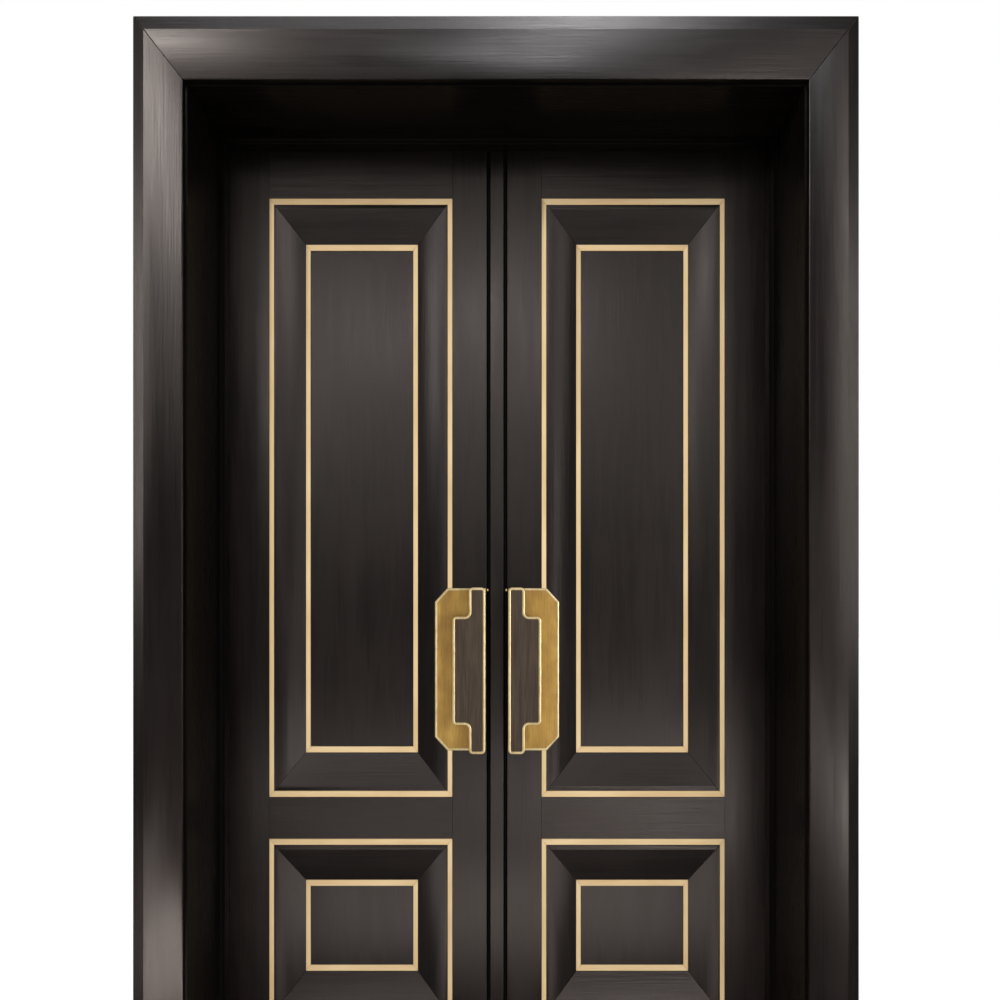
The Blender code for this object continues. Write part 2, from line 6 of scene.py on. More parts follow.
import bmesh
import bpy
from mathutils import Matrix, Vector


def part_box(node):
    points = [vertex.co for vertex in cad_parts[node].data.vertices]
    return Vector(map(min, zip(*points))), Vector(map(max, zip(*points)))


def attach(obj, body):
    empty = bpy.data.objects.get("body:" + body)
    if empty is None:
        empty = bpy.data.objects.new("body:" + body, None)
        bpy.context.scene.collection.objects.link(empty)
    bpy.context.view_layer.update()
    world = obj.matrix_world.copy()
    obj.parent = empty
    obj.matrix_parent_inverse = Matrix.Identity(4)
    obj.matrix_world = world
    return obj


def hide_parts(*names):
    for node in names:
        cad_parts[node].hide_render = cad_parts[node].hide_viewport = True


# Camera, from the photograph's vanishing point and scale
camera_side_offset = 0.0195
camera_distance = 2.60
camera_height = 1.234
camera_lens = 36.1
camera_sensor = 36.0
camera_shift = (-0.0045, 0.100)

# Eased edges of the painted timber and the metal
timber_ease = 0.0012
casing_ease = 0.0028
thin_ease = 0.0006
strip_ease = 0.0016
ease_segments = 2
strip_segments = 3
mitre_line = 0.0005
weld_distance = 0.00002
flat_angle = 0.01
sharp_angle = 0.5

# Pull: outline sizes beyond what the CAD boxes give
plate_corner_width = 0.032
plate_corner_height = 0.035
plate_corner_radius = 0.0012
least_radius = 0.0002
plate_rim_width = 0.006
plate_rim_rise = 0.0012
grip_narrow_width = 0.0421
grip_end_height = 0.0737
grip_corner_radius = 0.0105
grip_thickness = 0.016
grip_rim_width = 0.0065
grip_rim_rise = 0.0014
grip_ease = 0.0015
inlay_recess = 0.0021
inlay_setback = 0.0009
inlay_ease = 0.0005
inlay_round_share = 1 / 3
inlay_gap = 0.0003
post_width = 0.024
post_height = 0.044
post_corner_radius = 0.003
corner_steps = 8
crown_steps = 6

# Seals beside the cover strip
seal_taper_share = 0.25
seal_ease = 0.0006

# Hinge screws
knuckle_radius = 0.006
hinge_plate_gap = 0.0006
hinge_plate_length = 0.030
screw_radius = 0.0038
screw_top_share = 0.92
screw_rise = 0.00018
screw_slot_floor_share = 0.2
screw_arm = 0.0022
screw_slot = 0.00045
screw_height_shares = (0.12, 0.38, 0.62, 0.88)
screw_stagger = 0.005
circle_sides = 24

# Sides
words = {"left": -1, "right": 1}

# Noise: how far it is drawn out along the member, its scale, detail and roughness
paint_grain = {"drawn": 0.022, "scale": 240, "detail": 5, "roughness": 0.6}
paint_streaks = {"drawn": 0.09, "scale": 26, "detail": 4}
paint_clouds = {"scale": 3.1, "detail": 3}
floor_speckle = {"scale": 60, "detail": 3}

# Black-brown satin paint: colours with their places on the ramp, and how its noises mix
paint_index = 1.135
paint_colours = (
    (0.33, (0.0058, 0.0043, 0.0038)),
    (0.50, (0.0092, 0.0068, 0.0060)),
    (0.68, (0.0145, 0.0108, 0.0096)),
)
paint_roughness = 0.20, 0.36
paint_tone_grain_share = 0.35
paint_tone_cloud_share = 0.4
paint_sheen_cloud_share = 0.45
paint_sheen_grain_share = 0.33
paint_grain_bump = 0.45, 0.0005
paint_cloud_bump = 0.25, 0.002

# Other looks: the shares are the fine noise's part in the colour and in the gloss, beside the clouds'
grained_looks = {
    "pale_gold": {
        "sockets": {"Metallic": 0.72},
        "fine": {"drawn": 0.03, "scale": 420, "detail": 4},
        "cloud": {"drawn": 0.3, "scale": 16, "detail": 3},
        "colours": ((0.36, (0.74, 0.52, 0.27)), (0.50, (0.84, 0.61, 0.33)), (0.66, (0.93, 0.71, 0.41))),
        "colour_share": 0.3,
        "roughness": (0.30, 0.42),
        "gloss_share": 0.5,
        "bump": (0.2, 0.0002),
    },
    "brushed_brass": {
        "sockets": {"Metallic": 1},
        "fine": {"drawn": 0.02, "scale": 650, "detail": 5, "roughness": 0.65},
        "cloud": {"drawn": 0.6, "scale": 26, "detail": 4},
        "colours": ((0.34, (0.24, 0.135, 0.042)), (0.50, (0.345, 0.205, 0.055)), (0.66, (0.46, 0.30, 0.085))),
        "colour_share": 0.4,
        "roughness": (0.32, 0.48),
        "gloss_share": 0.5,
        "bump": (0.45, 0.0002),
    },
    "bright_brass": {
        "sockets": {"Metallic": 1},
        "fine": {"drawn": 0.2, "scale": 300, "detail": 4},
        "cloud": {"scale": 30, "detail": 3},
        "colours": ((0.36, (0.42, 0.31, 0.145)), (0.50, (0.54, 0.42, 0.22)), (0.66, (0.66, 0.53, 0.31))),
        "colour_share": 0.5,
        "roughness": (0.32, 0.44),
        "gloss_share": 0,
        "bump": (0.15, 0.0001),
    },
    "brown_inlay": {
        "sockets": {"Specular_IOR_Level": 0.25},
        "fine": {"drawn": 0.035, "scale": 520, "detail": 5, "roughness": 0.65},
        "cloud": {"drawn": 0.08, "scale": 90, "detail": 3},
        "colours": ((0.34, (0.07, 0.048, 0.035)), (0.50, (0.125, 0.089, 0.064)), (0.66, (0.19, 0.14, 0.104))),
        "colour_share": 0.55,
        "roughness": (0.42, 0.58),
        "gloss_share": 0,
        "bump": (0.5, 0.0003),
    },
    "bronzed_steel": {
        "sockets": {"Metallic": 1},
        "fine": {"drawn": 0.1, "scale": 500, "detail": 4},
        "cloud": {"scale": 70, "detail": 4},
        "colours": ((0.36, (0.085, 0.062, 0.040)), (0.52, (0.16, 0.125, 0.085)), (0.68, (0.26, 0.21, 0.15))),
        "colour_share": 0.3,
        "roughness": (0.34, 0.5),
        "gloss_share": 0,
        "bump": (0.2, 0.0001),
    },
    # Near-black rubber: on the meeting seals it also stands in for the shade in the gaps beside the cover
    # strip, as painted shade
    "black_rubber": {
        "sockets": {"Specular_IOR_Level": 0.08},
        "fine": {"scale": 900, "detail": 3},
        "cloud": {"scale": 900, "detail": 3},
        "colours": ((0.35, (0.005, 0.005, 0.005)), (0.65, (0.010, 0.010, 0.0095))),
        "colour_share": 1,
        "roughness": (0.6, 0.8),
        "gloss_share": 1,
        "bump": (0.4, 0.0002),
    },
}

# Floor: its own glow near the doors and far from them leaves their shadow on white
floor_size = 60.0
floor_segments = 2
floor_sockets = {"Roughness": 0.9, "Specular_IOR_Level": 0.1}
floor_colours = ((0.3, (0.78, 0.78, 0.77)), (0.7, (0.82, 0.82, 0.81)))
floor_glows = 0.70, 0.88
floor_glow_reaches = 2.5, 7.0

# Light: each softbox has a place, an aim, a width, a height, a power and a colour
ambient_strength = 0.16
warm_light = (1, 0.88, 0.82)
neutral_light = (1, 0.98, 1)
wall_y = -4.4
casing_y = -0.2
leaf_y = 0.1
studio_lamps = {
    "key": ((-1.06, wall_y, 3.7), (-0.1, leaf_y, 1.8), 0.5, 0.5, 60, (1, 0.985, 0.96)),
    "fill": ((1.75, -4.3, 2.7), (0.2, leaf_y, 1.4), 1.4, 1.4, 20, (1, 0.98, 0.95)),
    "back": ((0.9, 4.6, 3.2), (0, leaf_y, 1.3), 2.2, 2.2, 110, (1, 1, 1)),
}

# Sheen on the casing's face and on its outer band, one card for each bright place
casing_cards = {
    "face_left_top": ((-2.30, wall_y, 4.40), (-0.79, casing_y, 2.35), 0.9, 1.3, 640, warm_light),
    "face_left": ((-2.25, wall_y, 2.90), (-0.79, casing_y, 1.80), 0.8, 1.4, 110, warm_light),
    "face_left_low": ((-1.25, -1.1, 0.08), (-0.80, casing_y, 0.35), 0.7, 0.7, 34, warm_light),
    "face_left_foot": ((-0.60, -0.7, 0.05), (-0.80, casing_y, 0.15), 1.0, 0.5, 80, warm_light),
    "face_head": ((0.47, wall_y, 4.80), (0.18, casing_y, 2.47), 0.7, 0.6, 240, neutral_light),
    "face_right": ((2.20, wall_y, 2.60), (0.80, casing_y, 1.50), 0.6, 3.4, 340, warm_light),
    "face_right_low": ((1.60, -2.6, 0.10), (0.80, casing_y, 0.70), 0.8, 0.8, 110, warm_light),
    "band_head_right": ((0.60, -3.2, 7.30), (0.30, casing_y, 2.70), 1.0, 1.0, 600, neutral_light),
    "band_head_left": ((-1.20, -3.2, 7.30), (-0.40, casing_y, 2.70), 2.4, 1.0, 190, neutral_light),
    "band_left": ((-4.90, wall_y, 2.90), (-0.82, casing_y, 1.80), 0.8, 2.8, 680, warm_light),
    "band_right": ((4.90, wall_y, 2.40), (0.82, casing_y, 1.50), 0.8, 3.2, 490, warm_light),
}

# Broader, dimmer sheen on the leaves: above, on the hinge sides, in the middle and low down
leaf_cards = {
    "left_top": ((-0.95, wall_y, 3.20), (-0.35, leaf_y, 1.95), 1.0, 0.7, 84, warm_light),
    "meeting_top": ((0.12, wall_y, 3.20), (0.02, leaf_y, 1.95), 0.5, 0.7, 100, warm_light),
    "right_top": ((1.10, wall_y, 2.90), (0.36, leaf_y, 1.90), 1.0, 1.8, 40, warm_light),
    "left_side": ((-2.25, wall_y, 2.90), (-0.60, leaf_y, 1.80), 0.9, 1.2, 200, warm_light),
    "right_side": ((2.20, wall_y, 2.30), (0.60, leaf_y, 1.30), 0.6, 3.8, 190, warm_light),
    "middle": ((-0.30, wall_y, 2.10), (-0.10, leaf_y, 1.50), 1.8, 0.8, 40, warm_light),
    "right_low": ((0.90, -2.6, 0.10), (0.40, leaf_y, 0.60), 1.2, 0.7, 105, warm_light),
    "left_low": ((-0.50, -2.6, 0.10), (-0.20, leaf_y, 0.65), 1.6, 0.7, 60, warm_light),
    "foot": ((0, -0.8, 0.05), (0, leaf_y, 0.60), 1.4, 0.5, 38, warm_light),
}

# Sheen on all the paint from both sides and from behind
side_and_back_cards = {
    word: ((5.0 * side, 1.6, 2.2), (0.70 * side, leaf_y, 1.30), 3.2, 3.0, 240, warm_light)
    for word, side in words.items()
}
side_and_back_cards["back"] = ((0.30, 5.0, 2.80), (0, leaf_y, 1.40), 3.0, 2.6, 200, warm_light)
gold_cards = {"front": ((0, wall_y, 2.00), (0, leaf_y, 1.40), 4.0, 4.0, 12, neutral_light)}
brass_cards = {"right": ((2.40, wall_y, 1.10), (0, leaf_y, 1.10), 0.8, 1.2, 65, neutral_light)}

# Groups of pieces that cards are linked to
paint_groups = ("casing", "lining", "leaf")
metal_groups = ("gold_strip", "brushed_brass")
lit_pieces = {group: bpy.data.collections.new(group) for group in paint_groups + metal_groups}


# Node trees
def add_node(tree, kind, inputs=None, **settings):
    """Add a node, set its settings and link or set its inputs."""
    made = tree.nodes.new(kind)
    for name, value in settings.items():
        setattr(made, name, value)
    for name, value in (inputs or {}).items():
        if isinstance(value, bpy.types.NodeSocket):
            tree.links.new(value, made.inputs[name])
        else:
            made.inputs[name].default_value = value
    return made


def noise(tree, place, along, scale, detail, drawn=1, roughness=0.5):
    """Noise in metres, drawn out along one axis, as a value round a half."""
    stretch = tuple(drawn if axis == along else 1 for axis in "xyz")
    mapping = add_node(tree, "ShaderNodeMapping", {"Vector": place, "Scale": stretch})
    texture = add_node(tree, "ShaderNodeTexNoise", {
        "Vector": mapping.outputs["Vector"],
        "Scale": scale,
        "Detail": detail,
        "Roughness": roughness,
    })
    return texture.outputs["Fac"]


def spread(tree, value, low, high, from_low=0.3, from_high=0.7):
    """Map a value from one range to another."""
    ranged = add_node(tree, "ShaderNodeMapRange", {
        "Value": value,
        "From Min": from_low,
        "From Max": from_high,
        "To Min": low,
        "To Max": high,
    })
    return ranged.outputs["Result"]


def ramp(tree, value, stops):
    """Colour ramp through (position, colour) stops."""
    made = add_node(tree, "ShaderNodeValToRGB", {"Fac": value})
    elements = made.color_ramp.elements
    while len(elements) < len(stops):
        elements.new(1)
    for element, (position, colour) in zip(elements, stops):
        element.position = position
        element.color = (*colour, 1)
    return made.outputs["Color"]


def average(tree, first, second, share=0.5):
    """Blend two values."""
    mixed = add_node(tree, "ShaderNodeMix", {"Factor": share}, data_type="FLOAT")
    tree.links.new(first, mixed.inputs["A"])
    tree.links.new(second, mixed.inputs["B"])
    return mixed.outputs["Result"]


def bump(tree, heights):
    """Stacked bumps from (height, strength, distance) triples."""
    normal = None
    for height, strength, distance in heights:
        inputs = {"Height": height, "Strength": strength, "Distance": distance}
        if normal:
            inputs["Normal"] = normal
        normal = add_node(tree, "ShaderNodeBump", inputs).outputs["Normal"]
    return normal


def new_material(name, **sockets):
    """A Principled material with its constant sockets set on the shader itself."""
    material = bpy.data.materials.new(name)
    material.use_nodes = True
    tree = material.node_tree
    shader = tree.nodes["Principled BSDF"]
    for socket, value in sockets.items():
        shader.inputs[socket.replace("_", " ")].default_value = value
    place = add_node(tree, "ShaderNodeTexCoord").outputs["Object"]
    return material, tree, shader, place


def finish_material(tree, shader, colour=None, roughness=None, normal=None):
    """Link the varying values to the shader."""
    for socket, value in (("Base Color", colour), ("Roughness", roughness), ("Normal", normal)):
        if value:
            tree.links.new(value, shader.inputs[socket])


def paint(name, along):
    """Black-brown satin paint over timber, with brush and grain marks along the member."""
    material, tree, shader, place = new_material(name, IOR=paint_index)
    fine = noise(tree, place, along, **paint_grain)
    broad = noise(tree, place, along, **paint_streaks)
    cloud = noise(tree, place, along, **paint_clouds)
    grain = average(tree, broad, fine, paint_tone_grain_share)
    colour = ramp(tree, average(tree, grain, cloud, paint_tone_cloud_share), paint_colours)
    sheen = average(tree, broad, cloud, paint_sheen_cloud_share)
    sheen = average(tree, sheen, fine, paint_sheen_grain_share)
    roughness = spread(tree, sheen, *paint_roughness)
    normal = bump(tree, [(fine, *paint_grain_bump), (cloud, *paint_cloud_bump)])
    finish_material(tree, shader, colour, roughness, normal)
    return material


def grained(name, look, along="z"):
    """A metal, inlay or rubber whose colour and gloss follow clouds and fine marks along the member."""
    settings = grained_looks[look]
    material, tree, shader, place = new_material(name, **settings["sockets"])
    fine = noise(tree, place, along, **settings["fine"])
    cloud = noise(tree, place, along, **settings["cloud"])
    colour = ramp(tree, average(tree, cloud, fine, settings["colour_share"]), settings["colours"])
    gloss = average(tree, cloud, fine, settings["gloss_share"])
    roughness = spread(tree, gloss, *settings["roughness"])
    finish_material(tree, shader, colour, roughness, bump(tree, [(fine, *settings["bump"])]))
    return material


# Mesh helpers
def sheen_group(name, body, slot):
    """Which sheen cards a piece answers to."""
    if slot != "dark_paint":
        return slot
    if name.startswith("casing"):
        return "casing"
    return "lining" if body == "frame" else "leaf"


def add_piece(name, shape, materials, body, slot, nodes=(), ease=0, segments=ease_segments):
    """Make a piece that rides on a body, stands for CAD nodes and has eased edges."""
    mesh = bpy.data.meshes.new(name)
    shape.to_mesh(mesh)
    shape.free()
    for material in materials:
        mesh.materials.append(material)
    mesh.set_sharp_from_angle(angle=sharp_angle)
    piece = bpy.data.objects.new(name, mesh)
    bpy.context.scene.collection.objects.link(piece)
    group = sheen_group(name, body, slot)
    if group in lit_pieces:
        lit_pieces[group].objects.link(piece)
    if ease:
        mesh.shade_smooth()
        bevel = piece.modifiers.new("eased_edges", "BEVEL")
        bevel.width = ease
        bevel.segments = segments
        bevel.limit_method = "ANGLE"
        bevel.angle_limit = sharp_angle
        bevel.harden_normals = True
        bevel.use_clamp_overlap = True
    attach(piece, body)
    if nodes:
        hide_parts(*nodes)
    return piece


def welded(node):
    """A CAD node's shape with its corners joined."""
    shape = bmesh.new()
    shape.from_mesh(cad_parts[node].data)
    bmesh.ops.remove_doubles(shape, verts=shape.verts, dist=weld_distance)
    for face in shape.faces:
        face.material_index = 0
    return shape


def join_facets(shape):
    """Join flat neighbours into whole faces."""
    bmesh.ops.dissolve_limit(shape, angle_limit=flat_angle, verts=shape.verts, edges=shape.edges)
    return shape


def cut_off(shape, point, normal):
    """Cut away what lies on the normal's side of a plane and close the cut."""
    parts = list(shape.verts) + list(shape.edges) + list(shape.faces)
    cut = bmesh.ops.bisect_plane(shape, geom=parts, plane_co=point, plane_no=normal, clear_outer=True)
    edges = [part for part in cut["geom_cut"] if isinstance(part, bmesh.types.BMEdge)]
    if edges:
        bmesh.ops.holes_fill(shape, edges=edges)


def mitred_sticks(node, corner, materials, body, slot, ease, segments=ease_segments):
    """Four separate sticks in place of a ring, mitred from its corners along a given direction."""
    low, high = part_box(node)
    centre = Vector(((low.x + high.x) / 2, 0, (low.z + high.z) / 2))
    corners = {
        (-1, -1): Vector((low.x, 0, low.z)),
        (1, -1): Vector((high.x, 0, low.z)),
        (-1, 1): Vector((low.x, 0, high.z)),
        (1, 1): Vector((high.x, 0, high.z)),
    }
    sticks = {
        "low": ((-1, -1), (1, -1), "x"),
        "high": ((-1, 1), (1, 1), "x"),
        "near": ((-1, -1), (-1, 1), "z"),
        "far": ((1, -1), (1, 1), "z"),
    }
    for word, (start, end, along) in sticks.items():
        shape = welded(node)
        middle = (corners[start] + corners[end]) / 2
        for x, z in (start, end):
            mitre = Vector((corner.x * x, 0, corner.y * z))
            normal = Vector((mitre.z, 0, -mitre.x)).normalized()
            if normal.dot(middle - corners[x, z]) > 0:
                normal = -normal
            cut_off(shape, corners[x, z] - normal * mitre_line / 2, normal)
        cut_off(shape, centre, (centre - middle).normalized())
        join_facets(shape)
        add_piece(f"{node}_stick_{word}", shape, [materials[along]], body, slot, (node,), ease, segments)


def corner_direction(outer_node, inner_node):
    """How far the mitre runs sideways and upwards, from a ring's corner to an inner ring's."""
    outer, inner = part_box(outer_node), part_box(inner_node)
    return Vector((outer[1].x - inner[1].x, outer[1].z - inner[1].z))


def rounded(outline, radius):
    """The outline of (x, z) points with an arc at each corner."""
    points = []
    for i, corner in enumerate(outline):
        here = Vector(corner)
        back = (Vector(outline[i - 1]) - here).normalized()
        ahead = (Vector(outline[(i + 1) % len(outline)]) - here).normalized()
        half_angle = acos(back.dot(ahead)) / 2
        centre = here + (back + ahead).normalized() * radius / sin(half_angle)
        reach = radius * cos(half_angle) / sin(half_angle)
        first, last = here + back * reach - centre, here + ahead * reach - centre
        sweep = pi - 2 * half_angle
        for step in range(corner_steps + 1):
            share = step / corner_steps
            turned = first * sin((1 - share) * sweep) + last * sin(share * sweep)
            points.append(centre + turned / sin(sweep))
    return points


def inset(points, distance):
    """Move a closed outline inwards, keeping its point count."""
    area = sum(points[i - 1].cross(points[i]) for i in range(len(points)))
    turn = 1 if area > 0 else -1
    moved = []
    for i, point in enumerate(points):
        before = (point - points[i - 1]).normalized()
        after = (points[(i + 1) % len(points)] - point).normalized()
        normals = [Vector((-edge.y, edge.x)) * turn for edge in (before, after)]
        moved.append(point + (normals[0] + normals[1]) * distance / (1 + normals[0].dot(normals[1])))
    return moved


def layered(outline, profile, place, cap_material=0):
    """A solid whose outline(inset) is stacked up as the (inset, height) profile says."""
    shape = bmesh.new()
    loops = []
    for distance, height in profile:
        loops.append([shape.verts.new(place(p.x, height, p.y)) for p in outline(distance)])
    shape.faces.new(loops[0])
    cap = shape.faces.new(loops[-1])
    cap.material_index = cap_material
    for near, far in zip(loops, loops[1:]):
        for i in range(len(near)):
            j = (i + 1) % len(near)
            shape.faces.new((near[i], near[j], far[j], far[i])).smooth = True
    bmesh.ops.recalc_face_normals(shape, faces=shape.faces)
    return shape


def crown(start, width, base, rise):
    """Profile points over a rounded rim."""
    points = []
    for step in range(crown_steps + 1):
        turn = pi * step / crown_steps
        points.append((start + width * (1 - cos(turn)) / 2, base + rise * sqrt(max(0, sin(turn)))))
    return points


def merged(shapes):
    """Several shapes in one."""
    whole = bmesh.new()
    for shape in shapes:
        mesh = bpy.data.meshes.new("part")
        shape.to_mesh(mesh)
        shape.free()
        whole.from_mesh(mesh)
        bpy.data.meshes.remove(mesh)
    return whole


# Pieces
def dress_timber(paints):
    """Timber members as the CAD shapes with eased edges, in paint brushed along each member."""
    frame_members = {
        "casing_left": "z", "casing_right": "z", "casing_head": "x",
        "jamb_left": "z", "jamb_right": "z", "jamb_head": "x",
        "back_casing_left": "z", "back_casing_right": "z", "back_casing_head": "x",
    }
    leaf_members = {
        "hinge_stile": "z", "meeting_stile": "z",
        "top_rail": "x", "lock_rail": "x", "bottom_rail": "x",
        "upper_panel": "z", "lower_panel": "z",
    }
    members = [(node, "frame", along) for node, along in frame_members.items()]
    for word in words:
        members += [(f"{word}_{part}", f"{word}_leaf", along) for part, along in leaf_members.items()]
    members.append(("cover_strip", "right_leaf", "z"))
    for node, body, along in members:
        ease = casing_ease if "casing" in node else timber_ease
        add_piece(f"{node}_painted", join_facets(welded(node)), [paints[along]], body, "dark_paint", (node,),
                  ease)


def dress_panels(paints, golds):
    """Mouldings and gold strips as separate mitred sticks."""
    for word in words:
        body = f"{word}_leaf"
        for place in ("upper", "lower"):
            stem = f"{word}_{place}"
            moulding, inner = f"{stem}_moulding", f"{stem}_inner_strip"
            corner = corner_direction(moulding, inner)
            mitred_sticks(moulding, corner, paints, body, "dark_paint", thin_ease)
            for ring in ("outer", "inner"):
                node = f"{stem}_{ring}_strip"
                mitred_sticks(node, corner, golds, body, "gold_strip", strip_ease, strip_segments)


def plate_outline(low, high, distance):
    """Plate of the right-hand pull, with cut corners away from the meeting edge."""
    corners = [
        (low.x, low.z),
        (high.x - plate_corner_width, low.z),
        (high.x, low.z + plate_corner_height),
        (high.x, high.z - plate_corner_height),
        (high.x - plate_corner_width, high.z),
        (low.x, high.z),
    ]
    corners = inset([Vector(corner) for corner in corners], distance)
    return rounded(corners, max(plate_corner_radius - distance, least_radius))


def grip_outline(low, high, distance):
    """Grip of the right-hand pull: narrow ends and a wide middle."""
    narrow = low.x + grip_narrow_width
    step_low, step_high = low.z + grip_end_height, high.z - grip_end_height
    corners = [
        (low.x, low.z), (narrow, low.z), (narrow, step_low), (high.x, step_low),
        (high.x, step_high), (narrow, step_high), (narrow, high.z), (low.x, high.z),
    ]
    return inset(rounded(corners, grip_corner_radius), distance)


def build_pull(word, side, outward, looks, nodes, stem):
    """Plate, grip and inlay of one pull; outward is -1 in front of the leaf and 1 behind it."""
    body = f"{word}_leaf"
    plate_low, plate_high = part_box("right_pull_plate")
    grip_low, grip_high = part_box("right_pull_grip")
    face_y = leaf_face_y if outward < 0 else leaf_back_y
    reach = leaf_face_y - grip_low.y
    plate_seat = leaf_face_y - plate_high.y
    plate_front = leaf_face_y - plate_low.y

    def place(x, height, z):
        return (side * x, face_y + outward * height, z)

    field = plate_front - plate_rim_rise
    profile = [(0, plate_seat)] + crown(0, plate_rim_width, field, plate_rim_rise)
    shape = layered(partial(plate_outline, plate_low, plate_high), profile, place, 1)
    add_piece(f"{stem}_plate_finish", shape, [looks["rim"], looks["brass"]], body, "brushed_brass",
              nodes["plate"])

    back, front = reach - grip_thickness, reach
    rim_base = front - grip_rim_rise
    on_arc = grip_ease * (1 - cos(pi / 4))
    profile = [(grip_ease, back), (on_arc, back + on_arc), (0, back + grip_ease)]
    profile += crown(0, grip_rim_width, rim_base, grip_rim_rise)
    profile.append((grip_rim_width, front - inlay_recess))
    outline = partial(grip_outline, grip_low, grip_high)
    shapes = [layered(outline, profile, place)]
    post_x = grip_low.x + grip_narrow_width / 2
    for post_z in (grip_low.z + grip_end_height / 2, grip_high.z - grip_end_height / 2):
        wide, tall = post_width / 2, post_height / 2
        corners = [(post_x - wide, post_z - tall), (post_x + wide, post_z - tall),
                   (post_x + wide, post_z + tall), (post_x - wide, post_z + tall)]
        post = partial(inset, rounded(corners, post_corner_radius))
        shapes.append(layered(post, [(0, field - plate_rim_rise), (0, back + grip_ease)], place))
    add_piece(f"{stem}_grip_finish", merged(shapes), [looks["rim"]], body, "brushed_brass",
              nodes["grip"])

    top = front - inlay_setback
    on_arc = inlay_ease * inlay_round_share
    profile = [
        (grip_rim_width + inlay_gap, front - inlay_recess + inlay_gap / 2),
        (grip_rim_width + inlay_gap, top - inlay_ease),
        (grip_rim_width + inlay_gap + on_arc, top - on_arc),
        (grip_rim_width + inlay_gap + inlay_ease, top),
    ]
    add_piece(f"{stem}_inlay_finish", layered(outline, profile, place), [looks["inlay"]], body,
              "brown_inlay", nodes["inlay"])


def dress_pulls(looks):
    """The pulls on both sides of both leaves."""
    for word, side in words.items():
        front = {part: (f"{word}_pull_{part}",) for part in ("plate", "grip", "inlay")}
        build_pull(word, side, -1, looks, front, f"{word}_front")
        back = {part: (f"{word}_back_pull",) for part in ("plate", "grip", "inlay")}
        build_pull(word, side, 1, looks, back, f"{word}_back")


def screw_shape(place):
    """A low screw head with a cross slot, as a function of (across, up, height) puts it."""
    shape = bmesh.new()
    loops = []
    for radius, height in ((screw_radius, 0), (screw_radius * screw_top_share, screw_rise)):
        angles = [2 * pi * i / circle_sides for i in range(circle_sides)]
        loops.append([shape.verts.new(place(radius * cos(a), radius * sin(a), height)) for a in angles])
    cross = []
    for turn in range(4):
        a = turn * pi / 2
        for along, aside in ((screw_slot, -screw_slot), (screw_arm, -screw_slot), (screw_arm, screw_slot)):
            cross.append((along * cos(a) - aside * sin(a), along * sin(a) + aside * cos(a)))
    for height in (screw_rise, screw_rise * screw_slot_floor_share):
        loops.append([shape.verts.new(place(u, v, height)) for u, v in cross])
    for near, far in ((loops[0], loops[1]), (loops[2], loops[3])):
        for i in range(len(near)):
            j = (i + 1) % len(near)
            shape.faces.new((near[i], near[j], far[j], far[i]))
    shape.faces.new(loops[0])
    shape.faces.new(loops[3])
    rims = []
    for loop in loops[1:3]:
        for i in range(len(loop)):
            rims.append(shape.edges.get((loop[i], loop[(i + 1) % len(loop)])))
    bmesh.ops.triangle_fill(shape, use_beauty=True, edges=rims)
    bmesh.ops.recalc_face_normals(shape, faces=shape.faces)
    return shape


def dress_hinges(steel):
    """Screws in the plates of the hinges."""
    for word, side in words.items():
        for height in ("top", "middle", "bottom"):
            for half, body, turn in (("frame", "frame", -1), ("leaf", f"{word}_leaf", 1)):
                low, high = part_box(f"right_hinge_{height}_{half}")
                axis_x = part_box("right_hinge_top_leaf")[1].x - knuckle_radius
                plane = axis_x - turn * hinge_plate_gap / 2
                shapes = []
                for number, share in enumerate(screw_height_shares):
                    z = low.z + (high.z - low.z) * share
                    y = low.y + hinge_plate_length / 2 + (number % 2 * 2 - 1) * screw_stagger

                    def place(u, v, out):
                        return (side * (plane + turn * out), y + u, z + v)

                    shapes.append(screw_shape(place))
                add_piece(f"{word}_hinge_{height}_{half}_screws", merged(shapes), [steel], body,
                          "hinge_metal")


def dress_gap_seals_and_shade(rubber):
    """The soft strips that close the gaps on both sides of the cover strip; their near-black rubber also
    stands in for the shade in these gaps, as painted shade.
    """
    low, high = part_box("meeting_seal")
    near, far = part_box("cover_strip")[0].x, low.x
    for word, side, nodes in (("left", 1, ("meeting_seal",)), ("right", -1, ())):
        shape = bmesh.new()
        bmesh.ops.create_cube(shape, size=1)
        size = Vector((near - far, high.y - low.y, high.z - low.z))
        bmesh.ops.scale(shape, vec=size, verts=shape.verts)
        centre = Vector((side * (near + far) / 2, (low.y + high.y) / 2, (low.z + high.z) / 2))
        bmesh.ops.translate(shape, vec=centre, verts=shape.verts)
        for vertex in shape.verts:
            if vertex.co.y < centre.y:
                vertex.co.x += (centre.x - vertex.co.x) * seal_taper_share
        add_piece(f"{word}_meeting_seal_painted_shade", shape, [rubber], f"{word}_leaf", "seal", nodes,
                  seal_ease)


def dress_nodes(looks):
    """Finishes of the CAD nodes that stay as they are."""
    finishes = {"door_seal": "rubber", "left_stud": "gold", "right_stud": "gold"}
    for word in words:
        for height in ("top", "middle", "bottom"):
            for half in ("frame", "leaf"):
                finishes[f"{word}_hinge_{height}_{half}"] = "steel"
    for node, look in finishes.items():
        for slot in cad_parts[node].material_slots:
            slot.material = looks[look]
    for node in ("left_stud", "right_stud"):
        lit_pieces["gold_strip"].objects.link(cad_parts[node])


# Stage
def direct_ray(tree):
    """1 where a camera, glossy or transmission ray arrives, else 0."""
    path = add_node(tree, "ShaderNodeLightPath").outputs
    seen = path["Is Camera Ray"]
    for kind in ("Is Glossy Ray", "Is Transmission Ray"):
        both = add_node(tree, "ShaderNodeMath", operation="MAXIMUM")
        tree.links.new(seen, both.inputs[0])
        tree.links.new(path[kind], both.inputs[1])
        seen = both.outputs[0]
    return seen


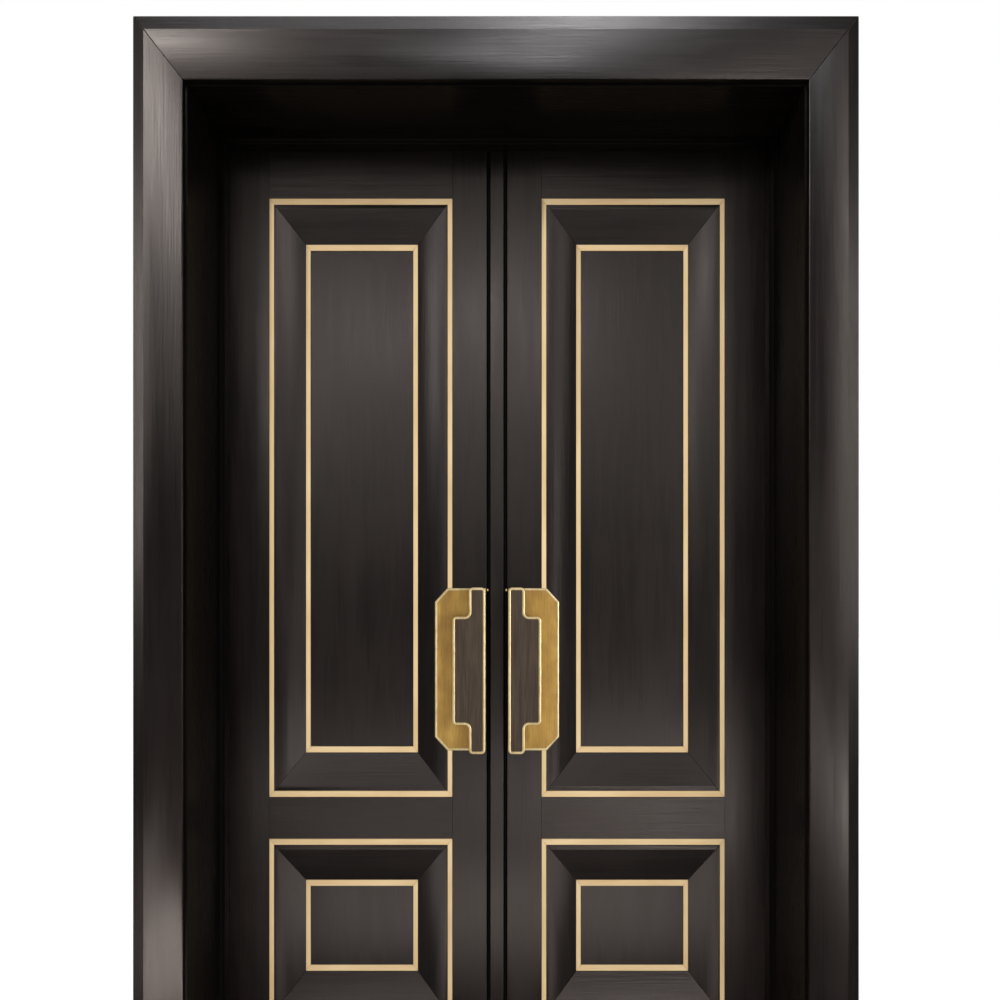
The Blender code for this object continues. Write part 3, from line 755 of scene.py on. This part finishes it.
def build_world():
    """White where it is seen or mirrored, and a plain soft fill elsewhere."""
    world = bpy.data.worlds.new("studio")
    world.use_nodes = True
    tree = world.node_tree
    background = tree.nodes["Background"]
    background.inputs["Color"].default_value = (1, 1, 1, 1)
    strength = spread(tree, direct_ray(tree), ambient_strength, 1, 0, 1)
    tree.links.new(strength, background.inputs["Strength"])
    bpy.context.scene.world = world


def build_floor():
    """A plain pale floor that keeps the doors' shadow."""
    shape = bmesh.new()
    bmesh.ops.create_grid(shape, x_segments=floor_segments, y_segments=floor_segments, size=floor_size / 2)
    mesh = bpy.data.meshes.new("floor")
    shape.to_mesh(mesh)
    shape.free()
    floor = bpy.data.objects.new("floor", mesh)
    bpy.context.scene.collection.objects.link(floor)
    material, tree, shader, place = new_material("pale_floor", **floor_sockets)
    speckle = noise(tree, place, "z", **floor_speckle)
    finish_material(tree, shader, ramp(tree, speckle, floor_colours))
    shader.inputs["Emission Color"].default_value = (1, 1, 1, 1)
    distance = add_node(tree, "ShaderNodeVectorMath", operation="LENGTH")
    tree.links.new(place, distance.inputs[0])
    glow = spread(tree, distance.outputs["Value"], *floor_glows, *floor_glow_reaches)
    strength = add_node(tree, "ShaderNodeMath", operation="MULTIPLY")
    tree.links.new(direct_ray(tree), strength.inputs[0])
    tree.links.new(glow, strength.inputs[1])
    tree.links.new(strength.outputs[0], shader.inputs["Emission Strength"])
    mesh.materials.append(material)


def aim(thing, target):
    """Turn a lamp or camera towards a point."""
    direction = Vector(target) - thing.location
    thing.rotation_mode = "QUATERNION"
    thing.rotation_quaternion = direction.to_track_quat("-Z", "Y")


def add_softbox(name, place, target, width, height, power, colour):
    """A softbox that the camera doesn't see."""
    lamp = bpy.data.lights.new(name, "AREA")
    lamp.shape = "RECTANGLE"
    lamp.size = width
    lamp.size_y = height
    lamp.energy = power
    lamp.color = colour
    softbox = bpy.data.objects.new(name, lamp)
    softbox.location = place
    softbox.visible_camera = False
    bpy.context.scene.collection.objects.link(softbox)
    aim(softbox, target)
    return softbox


def build_lamps():
    """Soft studio light: a key from the upper left, a fill from the right and one from behind."""
    for name, settings in studio_lamps.items():
        add_softbox(name, *settings).visible_glossy = False


def build_sheens(group, cards):
    """Softboxes that only show as sheen on one group of pieces."""
    for name, settings in cards.items():
        softbox = add_softbox(f"{group}_sheen_{name}", *settings)
        softbox.visible_diffuse = False
        softbox.light_linking.receiver_collection = lit_pieces[group]


def build_camera():
    """The photograph's viewpoint."""
    data = bpy.data.cameras.new("camera")
    data.lens = camera_lens
    data.sensor_width = camera_sensor
    data.shift_x, data.shift_y = camera_shift
    camera = bpy.data.objects.new("camera", data)
    camera.location = (camera_side_offset, leaf_face_y - camera_distance, camera_height)
    bpy.context.scene.collection.objects.link(camera)
    aim(camera, camera.location + Vector((0, 1, 0)))
    bpy.context.scene.camera = camera


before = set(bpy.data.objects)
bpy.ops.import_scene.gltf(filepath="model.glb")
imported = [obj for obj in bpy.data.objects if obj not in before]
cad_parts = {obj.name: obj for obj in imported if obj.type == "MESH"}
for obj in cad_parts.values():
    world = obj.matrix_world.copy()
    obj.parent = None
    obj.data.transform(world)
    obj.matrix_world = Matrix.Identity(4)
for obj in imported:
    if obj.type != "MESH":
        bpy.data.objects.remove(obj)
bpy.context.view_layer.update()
leaf_face_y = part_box("right_hinge_stile")[0].y
leaf_back_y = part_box("right_hinge_stile")[1].y
painted = {"x": paint("paint_level", "x"), "z": paint("paint_upright", "z")}
gilded = {"x": grained("gold_level", "pale_gold", "x"), "z": grained("gold_upright", "pale_gold", "z")}
finishes = {
    "gold": gilded["z"],
    "brass": grained("brushed_brass_plate", "brushed_brass"),
    "rim": grained("bright_brass_rim", "bright_brass"),
    "inlay": grained("grained_inlay", "brown_inlay"),
    "steel": grained("bronzed_steel", "bronzed_steel"),
    # The rubber's near-black colour on the meeting seals is partly painted shade for the gaps beside the
    # cover strip
    "rubber": grained("seal_rubber", "black_rubber"),
}
dress_timber(painted)
dress_panels(painted, gilded)
dress_pulls(finishes)
dress_hinges(finishes["steel"])
# Seals in the gaps beside the cover strip: real seals whose near-black rubber also paints the gaps' shade
dress_gap_seals_and_shade(finishes["rubber"])
dress_nodes(finishes)
build_world()
build_floor()
build_lamps()
build_sheens("casing", casing_cards)
build_sheens("leaf", leaf_cards)
for group in paint_groups:
    build_sheens(group, side_and_back_cards)
build_sheens("gold_strip", gold_cards)
build_sheens("brushed_brass", brass_cards)
build_camera()
bpy.context.scene.view_settings.view_transform = "Standard"
